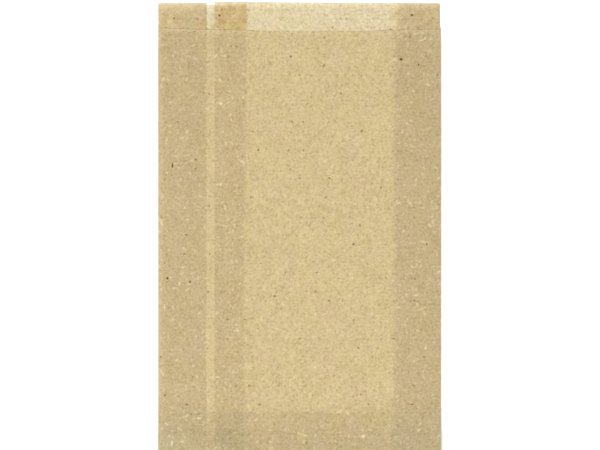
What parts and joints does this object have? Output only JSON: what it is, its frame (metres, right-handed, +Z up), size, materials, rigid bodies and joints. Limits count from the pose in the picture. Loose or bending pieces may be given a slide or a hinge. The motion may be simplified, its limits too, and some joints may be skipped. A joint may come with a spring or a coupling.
{
  "type": "bakery paper bag",
  "caption": "Flat side-gusset bag of thin recycled paper, with a glued back seam, a lip at its open mouth and a bottom turned up and glued on the back.",
  "frame": {"origin": "centre of the bag's outline, on the surface that its back lies on", "axes": "+X across the bag, +Y along it towards its mouth, +Z up out of its front"},
  "size_m": [0.15, 0.24, 0.0024],
  "materials": {
    "paper": "uncoated thin recycled paper, matt, light tan with fibres and specks"
  },
  "bodies": {
    "root": {"bag": "paper"}
  },
  "joints": []
}
